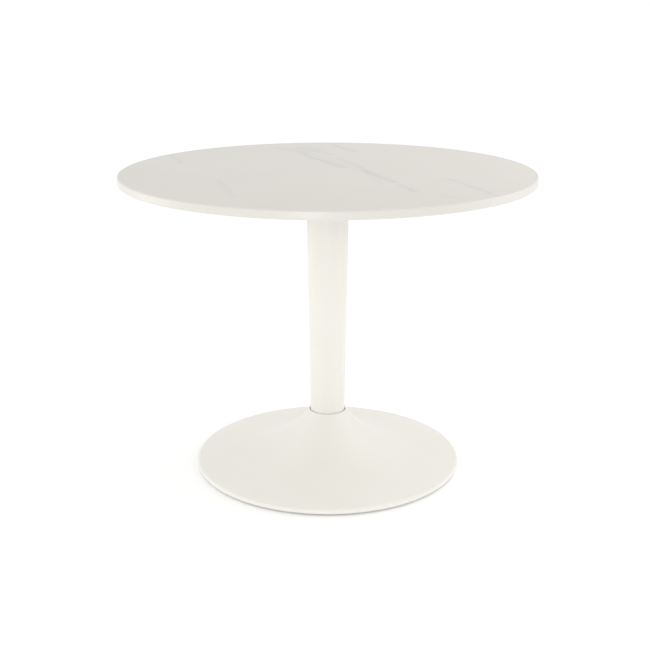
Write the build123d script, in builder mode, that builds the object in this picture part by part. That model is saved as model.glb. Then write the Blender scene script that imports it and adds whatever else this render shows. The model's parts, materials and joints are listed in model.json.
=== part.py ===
"""Round pedestal table: a marble-faced round top on a tapered steel column and a trumpet-shaped base.

Millimetres. The origin is on the floor at the centre of the base, and +Z is up.
The table stands on six levelling glides, shown screwed fully in.
"""

import math
import os

from build123d import *

# Overall sizes
table_height = 750.0
top_diameter = 1000.0
base_diameter = 670.0
neck_height = 140.0
floor_gap = 4.0  # between the floor and the base rim, with the glides screwed in

# Table top
top_thickness = 20.0
face_thickness = 1.0
backing_thickness = 0.8
edge_radius_above = 3.0
edge_radius_below = 4.0
lip_width = 0.6  # flat lacquered line round the marble face
backing_setback = 6.0

# Column
column_bottom_diameter = 82.0
column_top_diameter = 105.0
column_wall = 3.0
column_foot_thickness = 16.0
column_head_thickness = 12.0

# Base
shell_wall = 2.0
base_plate_thickness = 6.0
stud_headroom = 3.0  # under the shell, above the base plate
hem_width = 13.5
neck_gap = 1.1  # open ring between the column and the neck
neck_lip_radius = 2.5
neck_sleeve_length = 22.0
flare_power = 3.3
flare_slope = 0.06
flare_points = 8
inner_flare_share = 0.97  # the inner face stops short of the neck, where the sleeve meets it

# Neck bush
bush_length = 10.0
bush_flange_thickness = 1.5

# Mounting plate under the top
mount_plate_diameter = 360.0
mount_plate_thickness = 5.0
mount_screw_inset = 20.0  # from the plate's edge to a screw's centre
mount_screw_count = 8
mount_plate_chamfer = 1.0

# M6 screws, washers and insert nuts
screw_radius = 3.0
screw_head_radius = 5.5
screw_head_height = 3.6
screw_head_round = 1.4
screw_socket_width = 4.0  # across the flats
screw_socket_depth = 2.2
screw_length = 15.0
washer_radius = 7.5
washer_thickness = 1.2
insert_radius = 5.0
insert_length = 12.0
insert_flange_radius = 7.0
insert_flange_thickness = 1.2

# M8 countersunk bolts
bolt_radius = 4.0
bolt_head_radius = 7.5
bolt_socket_width = 5.0
bolt_socket_depth = 2.5
countersink_angle = 90.0
bolt_count = 4
bolt_inset = 16.0  # from the inside of the tube to a bolt's centre
head_bolt_length = 15.0
foot_bolt_length = 20.0

# Levelling glides
glide_count = 6
glide_inset = 26.5  # from the glide's centre to the free edge of the hem
glide_pad_radius = 14.0
glide_pad_height = 3.4
glide_pad_floor = 0.9  # nylon under the stud's foot
glide_pad_edge = 0.8
stud_radius = 4.0
stud_foot_radius = 7.0
stud_foot_height = 1.4
stud_collar_width = 12.0  # across the flats
stud_above_plate = 1.5
stud_chamfer = 0.6

# Clearances
fixing_gap = 0.1  # round bolts, screws and inserts
sheet_gap = 0.1  # round the marble face in its recess
weld_gap = 0.1  # between the column tube and its end plates
slide_gap = 0.2  # between the bush and the column
thread_gap = 0.05  # round a stud in the base plate
swivel_gap = 0.1  # round a stud in its pad
collar_gap = 0.3  # above and below a stud's collar

# Levels, from the floor up
plate_bottom = floor_gap + shell_wall
plate_top = plate_bottom + base_plate_thickness
rim_height = 2 * shell_wall + base_plate_thickness + stud_headroom
rim_radius = rim_height / 2
rim_top = floor_gap + rim_height
top_underside = table_height - top_thickness
board_underside = top_underside + backing_thickness
column_top = top_underside - mount_plate_thickness
column_length = column_top - plate_top

# Radii
top_radius = top_diameter / 2
face_recess_radius = top_radius - edge_radius_above - lip_width
rim_centre_radius = base_diameter / 2 - rim_radius
hem_inner_radius = rim_centre_radius - hem_width
base_plate_radius = rim_centre_radius - shell_wall / 2
glide_circle_radius = hem_inner_radius - glide_inset
mount_screw_radius = mount_plate_diameter / 2 - mount_screw_inset


def column_radius(z):
    """Outer radius of the tapered column at height z."""
    share = (z - plate_top) / column_length
    return (column_bottom_diameter + share * (column_top_diameter - column_bottom_diameter)) / 2


foot_bolt_radius = column_radius(plate_top) - column_wall - bolt_inset
head_bolt_radius = column_radius(column_top) - column_wall - bolt_inset
neck_bore_radius = column_radius(neck_height) + neck_gap
neck_lip_centre = (neck_bore_radius + neck_lip_radius, neck_height - neck_lip_radius)
flare_start_radius = neck_lip_centre[0] + neck_lip_radius
sleeve_bottom = neck_height - neck_sleeve_length


def flare_height(r):
    """Height of the trumpet's outer face at radius r: a gentle cone plus a power curve that rises to the neck."""
    out = (rim_centre_radius - r) / (rim_centre_radius - flare_start_radius)
    cone = flare_slope * (rim_centre_radius - r)
    rise = neck_height - neck_lip_radius - rim_top - flare_slope * (rim_centre_radius - flare_start_radius)
    return rim_top + cone + rise * out**flare_power


def flare_steepness(r):
    """Slope of the trumpet's outer face at radius r, downwards as r grows."""
    step = 0.01
    return (flare_height(r - step) - flare_height(r + step)) / (2 * step)


def flare_curve(depth, first_share):
    """Points of the trumpet's profile, sunk by depth along the face's normal, from the rim to the neck."""
    points = []
    for i in range(flare_points + 1):
        share = (i / flare_points) * first_share
        r = rim_centre_radius - share * (rim_centre_radius - flare_start_radius)
        slope = flare_steepness(r) if i else 0.0
        long = math.hypot(slope, 1.0)
        points.append((r - depth * slope / long, flare_height(r) - depth / long))
    return points


# ---------------------------------------------------------------- table top

with BuildPart() as marble_face:
    with BuildSketch(Plane.XY.offset(table_height - face_thickness)):
        Circle(face_recess_radius - sheet_gap)
    extrude(amount=face_thickness)

with BuildPart() as top_board:
    with BuildSketch(Plane.XY.offset(board_underside)):
        Circle(top_radius)
    extrude(amount=table_height - board_underside)
    fillet(top_board.faces().sort_by(Axis.Z)[-1].edges(), edge_radius_above)
    fillet(top_board.faces().sort_by(Axis.Z)[0].edges(), edge_radius_below)
    with BuildSketch(Plane.XY.offset(table_height)):
        Circle(face_recess_radius)
    extrude(amount=-face_thickness, mode=Mode.SUBTRACT)
    with BuildSketch(Plane.XY.offset(board_underside)):
        with PolarLocations(mount_screw_radius, mount_screw_count):
            Circle(insert_radius + fixing_gap)
    extrude(amount=insert_length + fixing_gap, mode=Mode.SUBTRACT)
    with BuildSketch(Plane.XY.offset(board_underside)):
        with PolarLocations(mount_screw_radius, mount_screw_count):
            Circle(insert_flange_radius + fixing_gap)
    extrude(amount=insert_flange_thickness, mode=Mode.SUBTRACT)

with BuildPart() as backing_sheet:
    with BuildSketch(Plane.XY.offset(top_underside)):
        Circle(top_radius - edge_radius_below - backing_setback)
        with PolarLocations(mount_screw_radius, mount_screw_count):
            Circle(insert_flange_radius + fixing_gap, mode=Mode.SUBTRACT)
    extrude(amount=backing_thickness)

with BuildPart() as insert_nuts:
    with BuildSketch(Plane.XY.offset(board_underside)):
        with PolarLocations(mount_screw_radius, mount_screw_count):
            Circle(insert_flange_radius)
    extrude(amount=insert_flange_thickness)
    with BuildSketch(Plane.XY.offset(board_underside)):
        with PolarLocations(mount_screw_radius, mount_screw_count):
            Circle(insert_radius)
    extrude(amount=insert_length)
    with BuildSketch(Plane.XY.offset(board_underside)):
        with PolarLocations(mount_screw_radius, mount_screw_count):
            Circle(screw_radius + fixing_gap)
    extrude(amount=insert_length, mode=Mode.SUBTRACT)

# ---------------------------------------------------------------- mounting plate and its fixings

with BuildPart() as mount_plate:
    with BuildSketch(Plane.XY.offset(column_top)):
        Circle(mount_plate_diameter / 2)
        with PolarLocations(mount_screw_radius, mount_screw_count):
            Circle(screw_radius + 2 * fixing_gap, mode=Mode.SUBTRACT)
    extrude(amount=mount_plate_thickness)
    with Locations((0, 0, top_underside)):
        with PolarLocations(head_bolt_radius, bolt_count):
            CounterSinkHole(
                radius=bolt_radius + fixing_gap,
                counter_sink_radius=bolt_head_radius + fixing_gap,
                counter_sink_angle=countersink_angle,
            )
    chamfer(mount_plate.faces().sort_by(Axis.Z)[0].outer_wire().edges(), mount_plate_chamfer)

with BuildPart() as mount_screws:
    head_bottom = column_top - washer_thickness - screw_head_height
    with BuildSketch(Plane.XY.offset(head_bottom)):
        with PolarLocations(mount_screw_radius, mount_screw_count):
            Circle(screw_head_radius)
    extrude(amount=screw_head_height)
    fillet(mount_screws.faces().group_by(Axis.Z)[0].edges(), screw_head_round)
    with BuildSketch(Plane.XY.offset(head_bottom + screw_head_height)):
        with PolarLocations(mount_screw_radius, mount_screw_count):
            Circle(screw_radius)
    extrude(amount=screw_length)
    with BuildSketch(Plane.XY.offset(head_bottom)):
        with PolarLocations(mount_screw_radius, mount_screw_count):
            RegularPolygon(radius=screw_socket_width / 2, side_count=6, major_radius=False)
    extrude(amount=screw_socket_depth, mode=Mode.SUBTRACT)

with BuildPart() as mount_washers:
    with BuildSketch(Plane.XY.offset(column_top - washer_thickness)):
        with PolarLocations(mount_screw_radius, mount_screw_count):
            Circle(washer_radius)
            Circle(screw_radius + 2 * fixing_gap, mode=Mode.SUBTRACT)
    extrude(amount=washer_thickness)


def countersunk_bolt(length):
    """One countersunk bolt, its head's flat face at the origin and its shank pointing down."""
    sink = bolt_head_radius - bolt_radius
    with BuildPart() as bolt:
        with BuildSketch(Plane.XZ):
            with BuildLine():
                Polyline(
                    (0, 0),
                    (bolt_head_radius, 0),
                    (bolt_radius, -sink),
                    (bolt_radius, -length),
                    (0, -length),
                    close=True,
                )
            make_face()
        revolve(axis=Axis.Z)
        with BuildSketch(Plane.XY):
            RegularPolygon(radius=bolt_socket_width / 2, side_count=6, major_radius=False)
        extrude(amount=-bolt_socket_depth, mode=Mode.SUBTRACT)
    return bolt.part


head_bolt = countersunk_bolt(head_bolt_length)
with BuildPart() as head_bolts:
    with Locations((0, 0, top_underside)):
        with PolarLocations(head_bolt_radius, bolt_count):
            add(head_bolt)

# ---------------------------------------------------------------- column

with BuildPart() as column_tube:
    with BuildSketch(Plane.XZ):
        with BuildLine():
            Polyline(
                (column_radius(plate_top), plate_top),
                (column_radius(column_top), column_top),
                (column_radius(column_top) - column_wall, column_top),
                (column_radius(plate_top) - column_wall, plate_top),
                close=True,
            )
        make_face()
    revolve(axis=Axis.Z)

with BuildPart() as column_foot:
    with BuildSketch(Plane.XY.offset(plate_top)):
        Circle(column_radius(plate_top) - column_wall - weld_gap)
        with PolarLocations(foot_bolt_radius, bolt_count):
            Circle(bolt_radius + fixing_gap, mode=Mode.SUBTRACT)
    extrude(amount=column_foot_thickness)

with BuildPart() as column_head:
    head_underside = column_top - column_head_thickness
    with BuildSketch(Plane.XY.offset(head_underside)):
        Circle(column_radius(head_underside) - column_wall - weld_gap)
        with PolarLocations(head_bolt_radius, bolt_count):
            Circle(bolt_radius + fixing_gap, mode=Mode.SUBTRACT)
    extrude(amount=column_head_thickness)

# ---------------------------------------------------------------- base

with BuildPart() as base_shell:
    with BuildSketch(Plane.XZ):
        with BuildLine():
            outer = flare_curve(0, 1.0)
            inner = flare_curve(shell_wall, inner_flare_share)
            rim_side = (rim_centre_radius + rim_radius, floor_gap + rim_radius)
            inside_side = (rim_side[0] - shell_wall, rim_side[1])
            neck_end = (neck_bore_radius + 2 * neck_lip_radius, neck_lip_centre[1])
            Spline(*outer, tangents=((-1, flare_slope), (-1, flare_steepness(flare_start_radius))))
            ThreePointArc(neck_end, (neck_lip_centre[0], neck_height), (neck_bore_radius, neck_lip_centre[1]))
            Polyline(
                (neck_bore_radius, neck_lip_centre[1]),
                (neck_bore_radius, sleeve_bottom),
                (neck_bore_radius + shell_wall, sleeve_bottom),
                (neck_bore_radius + shell_wall, inner[-1][1]),
                inner[-1],
            )
            Spline(*inner)
            ThreePointArc(inner[0], inside_side, (rim_centre_radius, plate_bottom))
            Polyline(
                (rim_centre_radius, plate_bottom),
                (hem_inner_radius, plate_bottom),
                (hem_inner_radius, floor_gap),
                (rim_centre_radius, floor_gap),
            )
            ThreePointArc((rim_centre_radius, floor_gap), rim_side, outer[0])
        make_face()
    revolve(axis=Axis.Z)

with BuildPart() as neck_bush:
    bush_bore = column_radius(sleeve_bottom + bush_length) + slide_gap
    with BuildSketch(Plane.XY.offset(sleeve_bottom - bush_flange_thickness)):
        Circle(neck_bore_radius + shell_wall)
        Circle(bush_bore, mode=Mode.SUBTRACT)
    extrude(amount=bush_flange_thickness)
    with BuildSketch(Plane.XY.offset(sleeve_bottom)):
        Circle(neck_bore_radius - fixing_gap)
        Circle(bush_bore, mode=Mode.SUBTRACT)
    extrude(amount=bush_length)

with BuildPart() as base_plate:
    with BuildSketch(Plane.XY.offset(plate_bottom)):
        Circle(base_plate_radius)
        with PolarLocations(glide_circle_radius, glide_count):
            Circle(stud_radius + thread_gap, mode=Mode.SUBTRACT)
    extrude(amount=base_plate_thickness)
    with Locations(Location((0, 0, plate_bottom), (180, 0, 0))):
        with PolarLocations(foot_bolt_radius, bolt_count):
            CounterSinkHole(
                radius=bolt_radius + fixing_gap,
                counter_sink_radius=bolt_head_radius + fixing_gap,
                counter_sink_angle=countersink_angle,
            )

foot_bolt = countersunk_bolt(foot_bolt_length)
with BuildPart() as foot_bolts:
    with Locations(Location((0, 0, plate_bottom), (180, 0, 0))):
        with PolarLocations(foot_bolt_radius, bolt_count):
            add(foot_bolt)

# ---------------------------------------------------------------- levelling glides


def glide_pad():
    """Round nylon pad, centred on the origin, with an undercut socket that holds the stud's foot."""
    socket_roof = glide_pad_floor + stud_foot_height + 2 * swivel_gap
    with BuildPart() as pad:
        with BuildSketch(Plane.XZ):
            with BuildLine():
                Polyline(
                    (0, 0),
                    (glide_pad_radius - glide_pad_edge, 0),
                    (glide_pad_radius, glide_pad_edge),
                    (glide_pad_radius, glide_pad_height - glide_pad_edge),
                    (glide_pad_radius - glide_pad_edge, glide_pad_height),
                    (stud_radius + swivel_gap, glide_pad_height),
                    (stud_radius + swivel_gap, socket_roof),
                    (stud_foot_radius + swivel_gap, socket_roof),
                    (stud_foot_radius + swivel_gap, glide_pad_floor),
                    (0, glide_pad_floor),
                    close=True,
                )
            make_face()
        revolve(axis=Axis.Z)
    return pad.part


def glide_stud():
    """Steel stud, centred on the origin: a round foot in the pad, a hexagonal collar and a threaded stem."""
    foot_bottom = glide_pad_floor + swivel_gap
    collar_bottom = glide_pad_height + collar_gap
    with BuildPart() as stud:
        with BuildSketch(Plane.XY.offset(foot_bottom)):
            Circle(stud_foot_radius)
        extrude(amount=stud_foot_height)
        with BuildSketch(Plane.XY.offset(foot_bottom)):
            Circle(stud_radius)
        extrude(amount=plate_top + stud_above_plate - foot_bottom)
        chamfer(stud.faces().sort_by(Axis.Z)[-1].edges(), stud_chamfer)
        with BuildSketch(Plane.XY.offset(collar_bottom)):
            RegularPolygon(radius=stud_collar_width / 2, side_count=6, major_radius=False)
        extrude(amount=plate_bottom - collar_gap - collar_bottom)
    return stud.part


kept = [
    ("marble_face", marble_face.part),
    ("top_board", top_board.part),
    ("backing_sheet", backing_sheet.part),
    ("insert_nuts", insert_nuts.part),
    ("mount_plate", mount_plate.part),
    ("mount_screws", mount_screws.part),
    ("mount_washers", mount_washers.part),
    ("head_bolts", head_bolts.part),
    ("column_tube", column_tube.part),
    ("column_foot", column_foot.part),
    ("column_head", column_head.part),
    ("base_shell", base_shell.part),
    ("neck_bush", neck_bush.part),
    ("base_plate", base_plate.part),
    ("foot_bolts", foot_bolts.part),
]

one_pad = glide_pad()
one_stud = glide_stud()
for number, place in enumerate(PolarLocations(glide_circle_radius, glide_count), start=1):
    with BuildPart() as placed_pad:
        with Locations(place):
            add(one_pad)
    with BuildPart() as placed_stud:
        with Locations(place):
            add(one_stud)
    kept.append((f"glide_pad_{number}", placed_pad.part))
    kept.append((f"glide_stud_{number}", placed_stud.part))

os.makedirs("parts", exist_ok=True)
for name, part in kept:
    part.label = name
    export_step(part, f"parts/{name}.step")
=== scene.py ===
# Round pedestal table: finished surfaces and materials round the CAD frame. Metres, +Z up.
import json
import math

import bpy
import numpy as np
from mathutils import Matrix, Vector


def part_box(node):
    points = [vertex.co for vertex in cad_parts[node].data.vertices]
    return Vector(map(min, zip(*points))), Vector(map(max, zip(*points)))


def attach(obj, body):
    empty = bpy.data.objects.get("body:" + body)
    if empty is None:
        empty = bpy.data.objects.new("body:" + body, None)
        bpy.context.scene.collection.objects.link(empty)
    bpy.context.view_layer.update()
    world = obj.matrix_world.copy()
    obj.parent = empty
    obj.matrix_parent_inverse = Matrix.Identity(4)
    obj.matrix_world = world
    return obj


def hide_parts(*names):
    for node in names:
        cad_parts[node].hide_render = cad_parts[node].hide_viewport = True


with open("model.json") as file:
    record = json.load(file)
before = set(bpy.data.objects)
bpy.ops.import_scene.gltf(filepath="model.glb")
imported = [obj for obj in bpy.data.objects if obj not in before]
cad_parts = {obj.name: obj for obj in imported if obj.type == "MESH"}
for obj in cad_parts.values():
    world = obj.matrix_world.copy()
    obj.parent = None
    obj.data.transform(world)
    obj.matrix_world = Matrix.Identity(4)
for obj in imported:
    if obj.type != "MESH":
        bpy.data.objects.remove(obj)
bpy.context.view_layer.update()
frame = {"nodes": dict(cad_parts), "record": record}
print("frame loaded:", len(frame["nodes"]), "nodes")

millimetre = 0.001
sharpAngle = 35  # degrees between two faces, past which their edge stays crisp
holdShare = 0.12  # how far outside an arc its holding points stand, as a share of its rounding


# Camera, lights and floor

view = {"place": (-0.0065, -2.6746, 1.1806), "pitchDown": 17.02, "lens": 61.8, "sensor": 36.0}

studio = {
    "worldStrength": 0.96,
    "floorSize": 400.0,
    "floorColour": (0.98, 0.98, 0.98),
    "floorRoughness": 0.9,
    "floorGlow": 0.08,  # keeps the far floor as pale as the near floor
    # name, place, size, power, aimed at
    "softboxes": [
        ("leftBox", (-3.2, 0.4, 0.8), 1.8, 11.0, (0.0, 0.0, 0.15)),
        ("rightBox", (3.2, 0.4, 0.8), 1.8, 6.0, (0.0, 0.0, 0.15)),
        ("overheadBox", (1.4, 1.4, 2.4), 2.0, 1.5, (0.4, 0.0, 0.7)),
        ("topGlow", (1.3, 0.2, 1.5), 0.9, 2.8, (0.45, 0.0, 0.75)),
        ("frontBox", (-0.6, -3.8, 0.5), 0.9, 12.0, (0.0, 0.0, 0.4)),
    ],
}


# The camera looks along +Y and is tilted down.
def addCamera():
    camera = bpy.data.cameras.new("tableCamera")
    camera.lens = view["lens"]
    camera.sensor_width = view["sensor"]
    holder = bpy.data.objects.new("tableCamera", camera)
    holder.location = view["place"]
    holder.rotation_euler = (math.radians(90 - view["pitchDown"]), 0, 0)
    bpy.context.scene.collection.objects.link(holder)
    bpy.context.scene.camera = holder


# A pale world, soft square lights aimed at the table, and a pale floor that glows a little.
def addStudio():
    scene = bpy.context.scene
    scene.view_settings.view_transform = "Standard"
    world = bpy.data.worlds.new("paleStudio")
    scene.world = world
    world.use_nodes = True
    sky = world.node_tree.nodes["Background"]
    sky.inputs["Color"].default_value = (1.0, 1.0, 1.0, 1.0)
    sky.inputs["Strength"].default_value = studio["worldStrength"]
    for name, place, size, power, target in studio["softboxes"]:
        lamp = bpy.data.lights.new(name, "AREA")
        lamp.shape = "SQUARE"
        lamp.size = size
        lamp.energy = power
        holder = bpy.data.objects.new(name, lamp)
        holder.location = place
        aim = Vector(target) - Vector(place)
        holder.rotation_euler = aim.to_track_quat("-Z", "Y").to_euler()
        scene.collection.objects.link(holder)
    half = studio["floorSize"] / 2
    floorMesh = bpy.data.meshes.new("studioFloor")
    corners = [(-half, -half, 0), (half, -half, 0), (half, half, 0), (-half, half, 0)]
    floorMesh.from_pydata(corners, [], [(0, 1, 2, 3)])
    floor = bpy.data.objects.new("studioFloor", floorMesh)
    scene.collection.objects.link(floor)
    paint = bpy.data.materials.new("floorPaint")
    paint.use_nodes = True
    shader = paint.node_tree.nodes["Principled BSDF"]
    shader.inputs["Base Color"].default_value = (*studio["floorColour"], 1.0)
    shader.inputs["Roughness"].default_value = studio["floorRoughness"]
    shader.inputs["Emission Color"].default_value = (1.0, 1.0, 1.0, 1.0)
    shader.inputs["Emission Strength"].default_value = studio["floorGlow"]
    floorMesh.materials.append(paint)


addCamera()
addStudio()
print("camera, lights and floor ready")


# Surfaces

# Turns arrays of points and faces into a smooth object whose faces point outwards.
def meshObject(name, points, faces):
    first = points[[f[0] for f in faces]]
    volume = 0.0
    for a, b in ((1, 2), (2, 3)):
        rows = [i for i, f in enumerate(faces) if len(f) > b]
        p = first[rows]
        q = points[[faces[i][a] for i in rows]]
        r = points[[faces[i][b] for i in rows]]
        volume += float(np.einsum("ij,ij->", p, np.cross(q, r)))
    if volume < 0:
        faces = [tuple(reversed(f)) for f in faces]
    mesh = bpy.data.meshes.new(name)
    mesh.from_pydata(points.tolist(), [], faces)
    mesh.validate()
    mesh.shade_smooth()
    mesh.set_sharp_from_angle(angle=math.radians(sharpAngle))
    item = bpy.data.objects.new(name, mesh)
    bpy.context.scene.collection.objects.link(item)
    return item


# Quads of a grid that closes round its columns, and round its rows too if asked.
def gridFaces(rows, columns, wrapRows):
    i, j = np.meshgrid(np.arange(rows if wrapRows else rows - 1), np.arange(columns), indexing="ij")
    up = (i + 1) % rows
    across = (j + 1) % columns
    here = i * columns
    there = up * columns
    quads = np.stack([here + j, there + j, there + across, here + across], -1)
    return [tuple(q) for q in quads.reshape(-1, 4).tolist()]


# Point (r, z) of the profile goes to (r cos t, r sin t, z). A profile that ends on the axis gets poles.
def lathe(name, profile, segments, centre=(0.0, 0.0)):
    profile = np.asarray(profile, float)
    onAxis = profile[0, 0] < 1e-9
    rings = profile[1:-1] if onAxis else profile
    t = np.linspace(0, 2 * math.pi, segments, endpoint=False)
    x = centre[0] + rings[:, :1] * np.cos(t)
    y = centre[1] + rings[:, :1] * np.sin(t)
    z = np.repeat(rings[:, 1:], segments, axis=1)
    points = np.stack([x, y, z], -1).reshape(-1, 3)
    faces = gridFaces(len(rings), segments, not onAxis)
    if onAxis:
        points, faces = closePoles(points, faces, segments, centre, profile[0, 1], profile[-1, 1])
    return meshObject(name, points, faces)


# Fans from one point on the axis to the first ring, and from another to the last.
def closePoles(points, faces, segments, centre, firstHeight, lastHeight):
    count = len(points)
    points = np.vstack([points, [(*centre, firstHeight), (*centre, lastHeight)]])
    lastRing = count - segments
    j = range(segments)
    faces = faces + [(count, k, (k + 1) % segments) for k in j]
    faces = faces + [(count + 1, lastRing + (k + 1) % segments, lastRing + k) for k in j]
    return points, faces


# Corners are (r, z, rounding). Each rounding becomes an arc, held by a point just outside each end.
def roundedProfile(corners, closed, steps=6):
    corners = np.asarray(corners, float)
    profile = []
    last = len(corners) - 1
    for k, (r, z, rounding) in enumerate(corners):
        if rounding <= 0 or (not closed and k in (0, last)):
            profile.append((r, z))
            continue
        here = np.array((r, z))
        back = corners[k - 1, :2] - here
        ahead = corners[(k + 1) % (last + 1), :2] - here
        back = back / np.linalg.norm(back)
        ahead = ahead / np.linalg.norm(ahead)
        half = math.acos(float(np.clip(back @ ahead, -1, 1))) / 2
        reach = rounding / math.tan(half)
        middle = here + (back + ahead) / np.linalg.norm(back + ahead) * rounding / math.sin(half)
        start = here + back * reach - middle
        end = here + ahead * reach - middle
        turn = math.atan2(start[0] * end[1] - start[1] * end[0], start @ end)
        angle = math.atan2(start[1], start[0]) + turn * np.linspace(0, 1, steps + 1)
        arc = middle + rounding * np.stack([np.cos(angle), np.sin(angle)], -1)
        hold = holdShare * rounding
        profile.append(tuple(arc[0] + back * hold))
        profile.extend(map(tuple, arc))
        profile.append(tuple(arc[-1] + ahead * hold))
    return profile


# Shader helpers and shared groups

# An empty node group with the named inputs and outputs.
def newGroup(name, inputs, outputs):
    group = bpy.data.node_groups.new(name, "ShaderNodeTree")
    for socketName, kind, value in inputs:
        socket = group.interface.new_socket(name=socketName, in_out="INPUT", socket_type=kind)
        if value is not None:
            socket.default_value = value
    for socketName, kind in outputs:
        group.interface.new_socket(name=socketName, in_out="OUTPUT", socket_type=kind)
    return group, group.nodes.new("NodeGroupInput"), group.nodes.new("NodeGroupOutput")


# One math node, each of whose operands is a number or another node's output.
def mathNode(tree, operation, first, second=None, third=None):
    node = tree.nodes.new("ShaderNodeMath")
    node.operation = operation
    for slot, value in enumerate((first, second, third)):
        if value is None:
            continue
        if isinstance(value, (int, float)):
            node.inputs[slot].default_value = value
        else:
            tree.links.new(value, node.inputs[slot])
    return node.outputs[0]


# One vector math node between two other nodes' outputs.
def vectorNode(tree, operation, first, second, output="Vector"):
    node = tree.nodes.new("ShaderNodeVectorMath")
    node.operation = operation
    tree.links.new(first, node.inputs[0])
    tree.links.new(second, node.inputs[1])
    return node.outputs[output]


# One noise, whose scale is a number or another node's output.
def noiseNode(tree, vector, scale, detail):
    node = tree.nodes.new("ShaderNodeTexNoise")
    tree.links.new(vector, node.inputs["Vector"])
    node.inputs["Detail"].default_value = detail
    if isinstance(scale, (int, float)):
        node.inputs["Scale"].default_value = scale
    else:
        tree.links.new(scale, node.inputs["Scale"])
    return node


# Height is a fine grain, and Mottle is a slow unevenness, both from 0 to 1.
def makeFineGrain():
    group, given, result = newGroup(
        "fineGrain",
        [("Vector", "NodeSocketVector", None), ("Grain Scale", "NodeSocketFloat", 1000.0),
         ("Mottle Scale", "NodeSocketFloat", 12.0)],
        [("Height", "NodeSocketFloat"), ("Mottle", "NodeSocketFloat")],
    )
    fine = noiseNode(group, given.outputs["Vector"], given.outputs["Grain Scale"], detail=2.0)
    slow = noiseNode(group, given.outputs["Vector"], given.outputs["Mottle Scale"], detail=3.0)
    group.links.new(fine.outputs["Fac"], result.inputs["Height"])
    group.links.new(slow.outputs["Fac"], result.inputs["Mottle"])
    return group


veinFade = 1.6  # how quickly a vein thins out towards its sides


# Mask is Strength on the straight run from Start to End, and falls smoothly to 0 at Width from it.
def makeVeinRun():
    group, given, result = newGroup(
        "veinRun",
        [("Vector", "NodeSocketVector", None), ("Start", "NodeSocketVector", None),
         ("End", "NodeSocketVector", None), ("Width", "NodeSocketFloat", 0.01),
         ("Strength", "NodeSocketFloat", 0.3)],
        [("Mask", "NodeSocketFloat")],
    )
    fromStart = vectorNode(group, "SUBTRACT", given.outputs["Vector"], given.outputs["Start"])
    run = vectorNode(group, "SUBTRACT", given.outputs["End"], given.outputs["Start"])
    along = vectorNode(group, "DOT_PRODUCT", fromStart, run, "Value")
    square = vectorNode(group, "DOT_PRODUCT", run, run, "Value")
    share = mathNode(group, "DIVIDE", along, square)
    share = mathNode(group, "MINIMUM", mathNode(group, "MAXIMUM", share, 0.0), 1.0)
    scaled = group.nodes.new("ShaderNodeVectorMath")
    scaled.operation = "SCALE"
    group.links.new(run, scaled.inputs[0])
    group.links.new(share, scaled.inputs["Scale"])
    away = vectorNode(group, "DISTANCE", fromStart, scaled.outputs["Vector"], "Value")
    near = mathNode(group, "SUBTRACT", 1.0, mathNode(group, "DIVIDE", away, given.outputs["Width"]))
    near = mathNode(group, "MAXIMUM", near, 0.0)
    soft = mathNode(group, "POWER", near, veinFade)
    soft = mathNode(group, "MULTIPLY", soft, given.outputs["Strength"])
    group.links.new(soft, result.inputs["Mask"])
    return group


fineGrain = makeFineGrain()
veinRun = makeVeinRun()


# A new material with its tree, its shader and the object coordinates.
def startMaterial(name):
    material = bpy.data.materials.new(name)
    material.use_nodes = True
    tree = material.node_tree
    coordinates = tree.nodes.new("ShaderNodeTexCoord").outputs["Object"]
    return material, tree, tree.nodes["Principled BSDF"], coordinates


# From the low colour to the high one as the share goes from 0 to 1.
def mixColours(tree, share, low, high):
    node = tree.nodes.new("ShaderNodeMix")
    node.data_type = "RGBA"  # its colour sockets are inputs 6 and 7 and output 2
    tree.links.new(share, node.inputs["Factor"])
    for socket, colour in ((node.inputs[6], low), (node.inputs[7], high)):
        if isinstance(colour, tuple):
            socket.default_value = (*colour, 1.0)
        else:
            tree.links.new(colour, socket)
    return node.outputs[2]


# Roughness swings evenly about its value with the mottle, and the grain's height is a bump.
def addGrain(tree, shader, vector, look):
    grain = tree.nodes.new("ShaderNodeGroup")
    grain.node_tree = fineGrain
    grain.inputs["Grain Scale"].default_value = look["grainScale"]
    grain.inputs["Mottle Scale"].default_value = look["mottleScale"]
    tree.links.new(vector, grain.inputs["Vector"])
    mottle = grain.outputs["Mottle"]
    smoothest = look["roughness"] - look["roughSwing"] / 2
    rough = mathNode(tree, "MULTIPLY_ADD", mottle, look["roughSwing"], smoothest)
    tree.links.new(rough, shader.inputs["Roughness"])
    bump = tree.nodes.new("ShaderNodeBump")
    bump.inputs["Strength"].default_value = look["bump"]
    bump.inputs["Distance"].default_value = look["grainDepth"]
    tree.links.new(grain.outputs["Height"], bump.inputs["Height"])
    tree.links.new(bump.outputs["Normal"], shader.inputs["Normal"])
    return mottle


# Colour swings between two tints with the mottle.
def grainedMaterial(name, look):
    material, tree, shader, coordinates = startMaterial(name)
    stretch = tree.nodes.new("ShaderNodeMapping")
    stretch.inputs["Scale"].default_value = look.get("stretch", (1.0, 1.0, 1.0))
    tree.links.new(coordinates, stretch.inputs["Vector"])
    mottle = addGrain(tree, shader, stretch.outputs["Vector"], look)
    tint = mixColours(tree, mottle, look["darkTint"], look["lightTint"])
    tree.links.new(tint, shader.inputs["Base Color"])
    shader.inputs["Metallic"].default_value = look.get("metallic", 0.0)
    shader.inputs["Coat Weight"].default_value = look.get("coat", 0.0)
    return material


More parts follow.
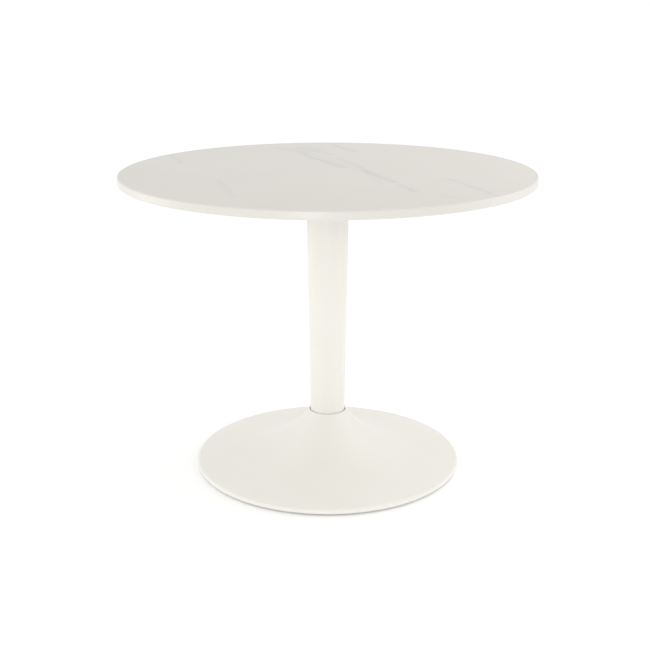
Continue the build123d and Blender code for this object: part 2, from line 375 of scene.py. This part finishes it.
finishes = {
    "powder_coat": {
        "grainScale": 1300.0, "mottleScale": 9.0, "bump": 0.35, "grainDepth": 0.00006,
        "darkTint": (0.83, 0.81, 0.755), "lightTint": (0.86, 0.841, 0.786),
        "roughness": 0.36, "roughSwing": 0.06,
    },
    "lacquered_board": {
        "grainScale": 700.0, "mottleScale": 6.0, "bump": 0.2, "grainDepth": 0.00003,
        "darkTint": (0.705, 0.684, 0.632), "lightTint": (0.73, 0.709, 0.657),
        "roughness": 0.34, "roughSwing": 0.05, "coat": 0.15,
    },
    "backing_laminate": {
        "grainScale": 900.0, "mottleScale": 5.0, "bump": 0.3, "grainDepth": 0.00004,
        "darkTint": (0.74, 0.72, 0.67), "lightTint": (0.78, 0.765, 0.715),
        "roughness": 0.6, "roughSwing": 0.08, "stretch": (1.0, 0.2, 1.0),
    },
    "black_steel": {
        "grainScale": 1500.0, "mottleScale": 20.0, "bump": 0.4, "grainDepth": 0.00006,
        "darkTint": (0.011, 0.011, 0.012), "lightTint": (0.022, 0.022, 0.023),
        "roughness": 0.52, "roughSwing": 0.12,
    },
    "zinc_steel": {
        "grainScale": 2200.0, "mottleScale": 160.0, "bump": 0.2, "grainDepth": 0.00003,
        "darkTint": (0.52, 0.53, 0.56), "lightTint": (0.66, 0.66, 0.66),
        "roughness": 0.33, "roughSwing": 0.14, "metallic": 1.0, "stretch": (1.0, 1.0, 0.15),
    },
    "nylon": {
        "grainScale": 1800.0, "mottleScale": 40.0, "bump": 0.25, "grainDepth": 0.00004,
        "darkTint": (0.60, 0.58, 0.52), "lightTint": (0.66, 0.64, 0.58),
        "roughness": 0.5, "roughSwing": 0.08,
    },
}


marble = {
    "darkTint": (0.622, 0.601, 0.541),
    "lightTint": (0.662, 0.640, 0.580),
    "veinColour": (0.44, 0.435, 0.415),
    "cloudScale": 3.2,
    "wander": 0.035,  # how far the veins stray from their straight runs
    "wanderScale": 7.0,
    "breakScale": 14.0,
    "breakGain": 1.4,  # the veins come and go with a noise times this gain, plus the least share
    "breakLeast": 0.2,
    "grainScale": 900.0,
    "mottleScale": 8.0,
    "roughness": 0.36,
    "roughSwing": 0.06,
    "bump": 0.15,
    "grainDepth": 0.00003,
    # width, strength, then the places that the vein passes through
    "veins": [
        (0.041, 0.12, [(-0.10, 0.38), (0.05, 0.10), (0.14, -0.14)]),
        (0.024, 0.30, [(-0.14, 0.40), (-0.08, 0.31)]),
        (0.022, 0.42, [(-0.08, 0.33), (-0.04, 0.21), (0.04, 0.05)]),
        (0.019, 0.36, [(-0.08, 0.39), (-0.04, 0.32), (0.01, 0.27)]),
        (0.018, 0.38, [(0.03, 0.20), (0.08, 0.05)]),
        (0.014, 0.26, [(-0.07, 0.44), (-0.02, 0.32)]),
        (0.019, 0.38, [(0.02, 0.44), (0.07, 0.33)]),
        (0.020, 0.46, [(0.08, 0.02), (0.13, -0.11), (0.15, -0.16)]),
        (0.016, 0.36, [(0.16, -0.20), (0.19, -0.28)]),
        (0.014, 0.20, [(0.11, -0.14), (0.12, -0.18)]),
        (0.019, 0.36, [(0.28, -0.13), (0.31, -0.20), (0.34, -0.27), (0.35, -0.31)]),
        (0.014, 0.24, [(0.24, -0.34), (0.28, -0.35)]),
        (0.016, 0.24, [(-0.41, 0.26), (-0.37, 0.12)]),
        (0.016, 0.20, [(-0.25, -0.14), (-0.20, -0.35)]),
    ],
}


# Veins are straight runs, strayed by a noise and broken by another, over a cloudy ground.
def marbleMaterial():
    material, tree, shader, coordinates = startMaterial("marble_laminate")
    flatten = tree.nodes.new("ShaderNodeMapping")
    flatten.inputs["Scale"].default_value = (1.0, 1.0, 0.0)  # the pattern is the same through the sheet
    tree.links.new(coordinates, flatten.inputs["Vector"])
    flat = flatten.outputs["Vector"]
    stray = noiseNode(tree, flat, marble["wanderScale"], detail=4.0)
    centred = tree.nodes.new("ShaderNodeVectorMath")
    centred.operation = "MULTIPLY_ADD"
    tree.links.new(stray.outputs["Color"], centred.inputs[0])
    centred.inputs[1].default_value = (marble["wander"], marble["wander"], 0.0)
    centred.inputs[2].default_value = (-marble["wander"] / 2, -marble["wander"] / 2, 0.0)
    wandering = vectorNode(tree, "ADD", flat, centred.outputs["Vector"])
    veinMask = None
    for width, strength, places in marble["veins"]:
        for start, end in zip(places, places[1:]):
            run = tree.nodes.new("ShaderNodeGroup")
            run.node_tree = veinRun
            run.inputs["Start"].default_value = (*start, 0.0)
            run.inputs["End"].default_value = (*end, 0.0)
            run.inputs["Width"].default_value = width
            run.inputs["Strength"].default_value = strength
            tree.links.new(wandering, run.inputs["Vector"])
            mask = run.outputs["Mask"]
            veinMask = mask if veinMask is None else mathNode(tree, "MAXIMUM", veinMask, mask)
    cloud = noiseNode(tree, flat, marble["cloudScale"], detail=3.0)
    breaks = noiseNode(tree, flat, marble["breakScale"], detail=2.0)
    gain = marble["breakGain"]
    kept = mathNode(tree, "MULTIPLY_ADD", breaks.outputs["Fac"], gain, marble["breakLeast"])
    veinMask = mathNode(tree, "MULTIPLY", veinMask, kept)
    ground = mixColours(tree, cloud.outputs["Fac"], marble["darkTint"], marble["lightTint"])
    tree.links.new(mixColours(tree, veinMask, ground, marble["veinColour"]), shader.inputs["Base Color"])
    addGrain(tree, shader, coordinates, marble)
    return material


materials = {name: grainedMaterial(name, look) for name, look in finishes.items()}
materials["marble_laminate"] = marbleMaterial()
slotOf = {row["node"]: row["material_slot"] for row in frame["record"]["subparts"]}
for nodeName, item in frame["nodes"].items():
    item.data.materials.clear()
    item.data.materials.append(materials[slotOf[nodeName]])
print("materials ready")


# The piece takes its place on the body, stands for the nodes and wears their finish.
def finish(piece, body, *nodes):
    slotName = slotOf[nodes[0]]
    piece.data.materials.clear()
    piece.data.materials.append(materials[slotName])
    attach(piece, body)
    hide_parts(*nodes)
    return piece


# Table top

top = {
    "lip": 0.6 * millimetre,  # flat ring of the board round the face
    "edgeAbove": 3 * millimetre,
    "edgeBelow": 4 * millimetre,
    "recessEdge": 0.1 * millimetre,
    "edgeSteps": 10,
    "faceThickness": millimetre,
    "faceEdge": 0.25 * millimetre,
    "segments": 384,
    # pockets for the insert nuts, each with a wider mouth for the nut's flange
    "pocketCount": 8,
    "pocketCircle": 160 * millimetre,
    "pocketRadius": 5.1 * millimetre,
    "pocketDepth": 12.1 * millimetre,
    "flangeRadius": 7.1 * millimetre,
    "flangeDepth": 1.2 * millimetre,
    "pocketSegments": 32,
    "cutterReach": millimetre,  # how far a cutter starts below the board
}


# A disc with two rounded edges and a recess for the face, less the pockets in its underside.
def topBoard():
    low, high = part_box("top_board")
    radius = high.x
    recess = radius - top["edgeAbove"] - top["lip"]
    seat = high.z - top["faceThickness"]
    corners = [
        (0, low.z, 0), (radius, low.z, top["edgeBelow"]), (radius, high.z, top["edgeAbove"]),
        (recess, high.z, top["recessEdge"]), (recess, seat, 0), (0, seat, 0),
    ]
    board = lathe("topBoardFinished", roundedProfile(corners, False, top["edgeSteps"]), top["segments"])
    start = low.z - top["cutterReach"]
    shoulder = low.z + top["flangeDepth"]
    end = low.z + top["pocketDepth"]
    pocket = [
        (0, start), (top["flangeRadius"], start), (top["flangeRadius"], shoulder),
        (top["pocketRadius"], shoulder), (top["pocketRadius"], end), (0, end),
    ]
    for k in range(top["pocketCount"]):
        angle = 2 * math.pi * k / top["pocketCount"]
        centre = (top["pocketCircle"] * math.cos(angle), top["pocketCircle"] * math.sin(angle))
        cutter = lathe("pocketCutter", pocket, top["pocketSegments"], centre)
        cut = board.modifiers.new("pocket", "BOOLEAN")
        cut.object = cutter
        cut.operation = "DIFFERENCE"
        cut.solver = "EXACT"
        bpy.context.view_layer.update()
        evaluated = board.evaluated_get(bpy.context.evaluated_depsgraph_get())
        shaped = bpy.data.meshes.new_from_object(evaluated)
        board.modifiers.clear()
        board.data = shaped
        bpy.data.objects.remove(cutter)
    return finish(board, "table", "top_board")


# A thin disc with a small rounding, set in the board's recess.
def marbleFace():
    low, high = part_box("marble_face")
    corners = [(0, low.z, 0), (high.x, low.z, 0), (high.x, high.z, top["faceEdge"]), (0, high.z, 0)]
    face = lathe("marbleFaceFinished", roundedProfile(corners, False), top["segments"])
    return finish(face, "table", "marble_face")


topBoard()
marbleFace()
print("table top ready")


# Column and base

column = {
    "foot": 41 * millimetre,  # outer radius at the foot
    "wall": 3 * millimetre,
    "edge": 0.4 * millimetre,
    "segments": 192,
}

base = {
    "wall": 2 * millimetre,
    "rimHeight": 13 * millimetre,
    "hem": 13.5 * millimetre,
    "lip": 2.5 * millimetre,
    "neckGap": 1.1 * millimetre,
    "sleeve": 22 * millimetre,
    "power": 3.3,
    "slope": 0.06,
    "innerShare": 0.97,  # the inner face stops here, where it meets the sleeve
    "ringSpread": 0.8,  # under 1, the flare's rings stand closer together towards the neck
    "flareRings": 90,
    "innerSteps": 20,
    "outerSteps": 28,
    "segments": 320,
}


# The outer radius grows evenly from the foot of the column to its head.
def columnRadius(z):
    low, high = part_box("column_tube")
    return column["foot"] + (z - low.z) / (high.z - low.z) * (high.x - column["foot"])


# A tapered tube with its four edges rounded.
def columnTube():
    low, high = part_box("column_tube")
    head = high.x
    foot = column["foot"]
    wall = column["wall"]
    edge = column["edge"]
    corners = [
        (foot, low.z, edge), (head, high.z, edge),
        (head - wall, high.z, edge), (foot - wall, low.z, edge),
    ]
    tube = lathe("columnTubeFinished", roundedProfile(corners, True), column["segments"])
    return finish(tube, "table", "column_tube")


# Points on a circle from one angle to another, in degrees.
def arcPoints(centre, radius, first, last, steps):
    angle = np.radians(np.linspace(first, last, steps + 1))
    return np.stack([centre[0] + radius * np.cos(angle), centre[1] + radius * np.sin(angle)], -1)


# A gentle cone plus a power curve rises from the rim to the neck, and the inner face lies a wall
# below it. The rim rolls under into a hem, and the neck rolls over into a sleeve round the column.
def baseShell():
    low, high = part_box("base_shell")
    rimRadius = base["rimHeight"] / 2
    rimCentre = high.x - rimRadius
    rimTop = low.z + base["rimHeight"]
    bore = columnRadius(high.z) + base["neckGap"]
    lipCentre = (bore + base["lip"], high.z - base["lip"])
    neckStart = lipCentre[0] + base["lip"]
    width = rimCentre - neckStart
    rise = lipCentre[1] - rimTop - base["slope"] * width

    def flare(lastShare):
        share = np.linspace(0, lastShare, base["flareRings"]) ** base["ringSpread"]
        share = share / share[-1] * lastShare
        height = rimTop + base["slope"] * width * share + rise * share ** base["power"]
        steep = base["slope"] + rise / width * base["power"] * share ** (base["power"] - 1)
        return rimCentre - width * share, height, steep

    outerR, outerZ, _ = flare(1.0)
    innerR, innerZ, steep = flare(base["innerShare"])
    steep[0] = 0.0  # the first inner point lies straight below the outer one, to meet the rim's arc
    long = np.hypot(steep, 1.0)
    inner = np.stack([innerR - base["wall"] * steep / long, innerZ - base["wall"] / long], -1)[::-1]
    sleeveEnd = high.z - base["sleeve"]
    sleeveOut = bore + base["wall"]
    lip = arcPoints(lipCentre, base["lip"], 0, 180, base["innerSteps"])[1:]
    sleeve = np.array([(bore, sleeveEnd), (sleeveOut, sleeveEnd), (sleeveOut, inner[0, 1])])
    rimMiddle = (rimCentre, low.z + rimRadius)
    innerRim = arcPoints(rimMiddle, rimRadius - base["wall"], 90, -90, base["innerSteps"])[1:]
    hemEdge = rimCentre - base["hem"]
    hem = np.array([(hemEdge, low.z + base["wall"]), (hemEdge, low.z)])
    outerRim = arcPoints(rimMiddle, rimRadius, -90, 90, base["outerSteps"])[:-1]
    profile = np.vstack([np.stack([outerR, outerZ], -1), lip, sleeve, inner, innerRim, hem, outerRim])
    return finish(lathe("baseShellFinished", profile, base["segments"]), "table", "base_shell")


columnTube()
baseShell()
print("column and base ready")


# Levelling glides

glide = {
    "count": 6,
    "padHeight": 3.4 * millimetre,
    "padEdge": 0.8 * millimetre,
    "padFloor": 0.9 * millimetre,
    "socketRoof": 2.5 * millimetre,
    "socketRadius": 7.1 * millimetre,
    "throat": 4.1 * millimetre,
    "footRadius": 7 * millimetre,
    "footTop": 2.4 * millimetre,
    "stem": 4 * millimetre,
    "threadPitch": 1.25 * millimetre,
    "threadDepth": 0.55 * millimetre,
    "threadRows": 72,
    "collarHalf": 6 * millimetre,  # half the width across the collar's flats
    "collarBottom": 3.7 * millimetre,
    "collarTop": 5.7 * millimetre,
    "tipChamfer": 0.6 * millimetre,
    "segments": 96,
}


# A round pad with a socket for the stud's foot and a narrower throat above it.
def glidePad(number):
    low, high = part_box(f"glide_pad_{number}")
    centre = ((low.x + high.x) / 2, (low.y + high.y) / 2)
    radius = (high.x - low.x) / 2
    edge = glide["padEdge"]
    throat = glide["throat"]
    socket = glide["socketRadius"]
    corners = [
        (0, 0, 0), (radius, 0, edge),
        (radius, glide["padHeight"], edge), (throat, glide["padHeight"], 0),
        (throat, glide["socketRoof"], 0), (socket, glide["socketRoof"], 0),
        (socket, glide["padFloor"], 0), (0, glide["padFloor"], 0),
    ]
    pad = lathe(f"glidePadFinished_{number}", roundedProfile(corners, False), glide["segments"], centre)
    return finish(pad, f"pad_{number}", f"glide_pad_{number}")


# Radius as a function of height and angle: a plain foot, a six-sided collar and a threaded stem.
def glideStud(number):
    low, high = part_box(f"glide_stud_{number}")
    centre = ((low.x + high.x) / 2, (low.y + high.y) / 2)
    stemRows = np.linspace(glide["collarTop"], high.z - glide["tipChamfer"], glide["threadRows"])
    footRows = [low.z, glide["footTop"], glide["footTop"]]
    collarRows = [glide["collarBottom"], glide["collarBottom"], glide["collarTop"]]
    heights = np.concatenate([footRows, collarRows, stemRows, [high.z]])
    t = np.linspace(0, 2 * math.pi, glide["segments"], endpoint=False)
    flats = np.mod(t + math.pi / 6, math.pi / 3) - math.pi / 6
    phase = np.mod(heights[:, None] / glide["threadPitch"] - t[None, :] / (2 * math.pi), 1.0)
    radius = glide["stem"] - glide["threadDepth"] * np.abs(2 * phase - 1)
    radius[:2] = glide["footRadius"]
    radius[2:4] = glide["stem"]
    radius[4:6] = glide["collarHalf"] / np.cos(flats)
    radius[6] = glide["stem"] - glide["threadDepth"]
    radius[-1] = glide["stem"] - glide["tipChamfer"]
    x = centre[0] + radius * np.cos(t)
    y = centre[1] + radius * np.sin(t)
    z = np.repeat(heights[:, None], len(t), axis=1)
    points = np.stack([x, y, z], -1).reshape(-1, 3)
    faces = gridFaces(len(heights), len(t), False)
    points, faces = closePoles(points, faces, len(t), centre, low.z, high.z)
    stud = meshObject(f"glideStudFinished_{number}", points, faces)
    return finish(stud, f"stud_{number}", f"glide_stud_{number}")


for glideNumber in range(1, glide["count"] + 1):
    glidePad(glideNumber)
    glideStud(glideNumber)
print("levelling glides ready")
